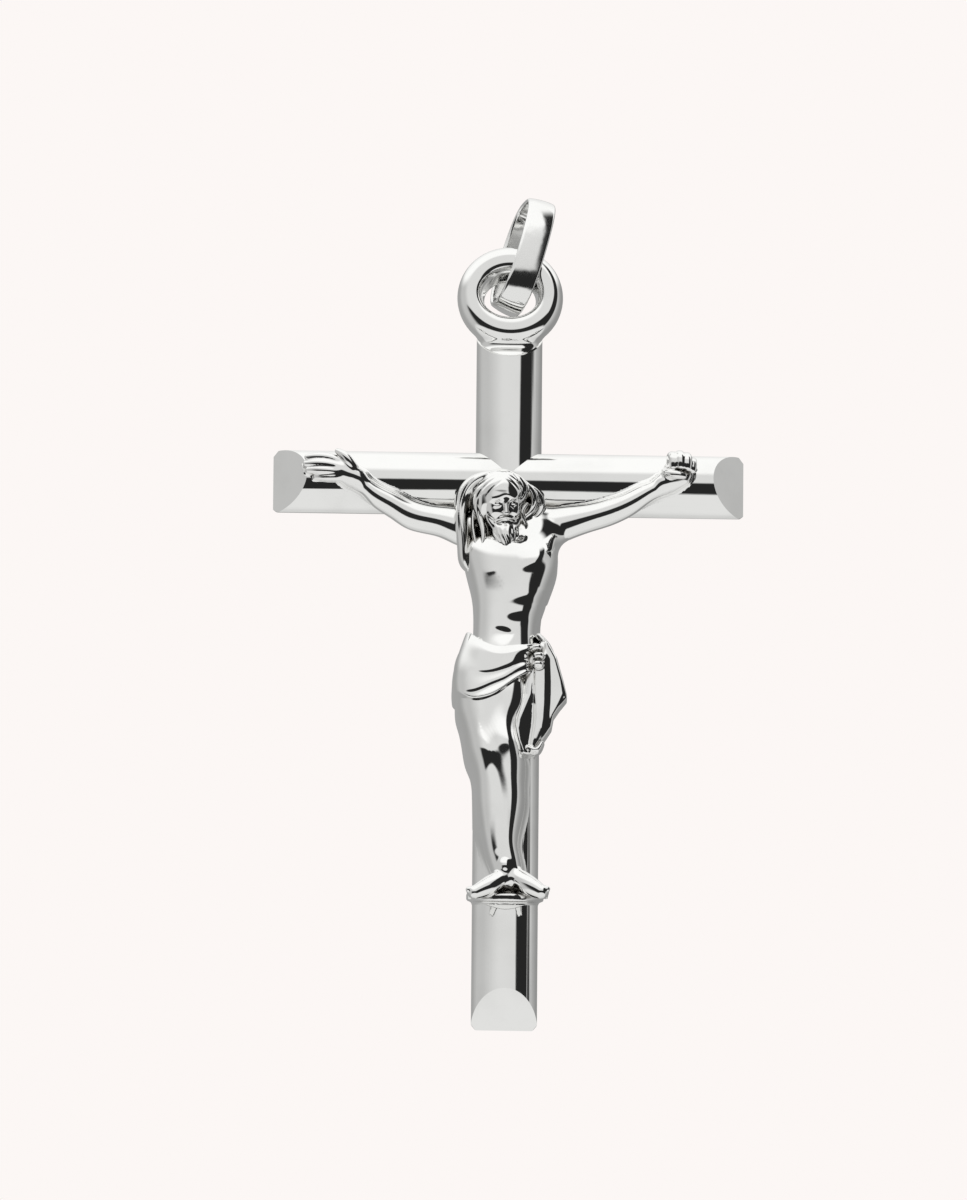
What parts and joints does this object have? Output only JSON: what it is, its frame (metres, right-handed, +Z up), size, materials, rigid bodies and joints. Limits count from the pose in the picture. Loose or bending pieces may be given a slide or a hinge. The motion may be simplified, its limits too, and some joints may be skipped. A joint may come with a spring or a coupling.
{
  "type": "crucifix pendant",
  "caption": "Metal crucifix pendant: crossed half-round bars with slanted ends, a raised figure, a fat ring eye and a loose oval bail.",
  "frame": {"origin": "inside the top of the bail, where a chain bears", "axes": "+X to the viewer's right, -Y towards the viewer, out of the figure's front, +Z up along the upright"},
  "size_m": [0.024, 0.0055, 0.0453],
  "materials": {
    "silver": "mirror polished silver"
  },
  "bodies": {
    "bail": {"bail": "silver"},
    "crucifix": {"crucifix": "silver"}
  },
  "joints": [
    {"name": "crucifix_swing", "type": "hinge", "parent": "bail", "child": "crucifix", "pos_m": [-0.00129, -0.00042, -0.00507], "axis": [0, 1, 0], "range_deg": [-130, 160]}
  ]
}
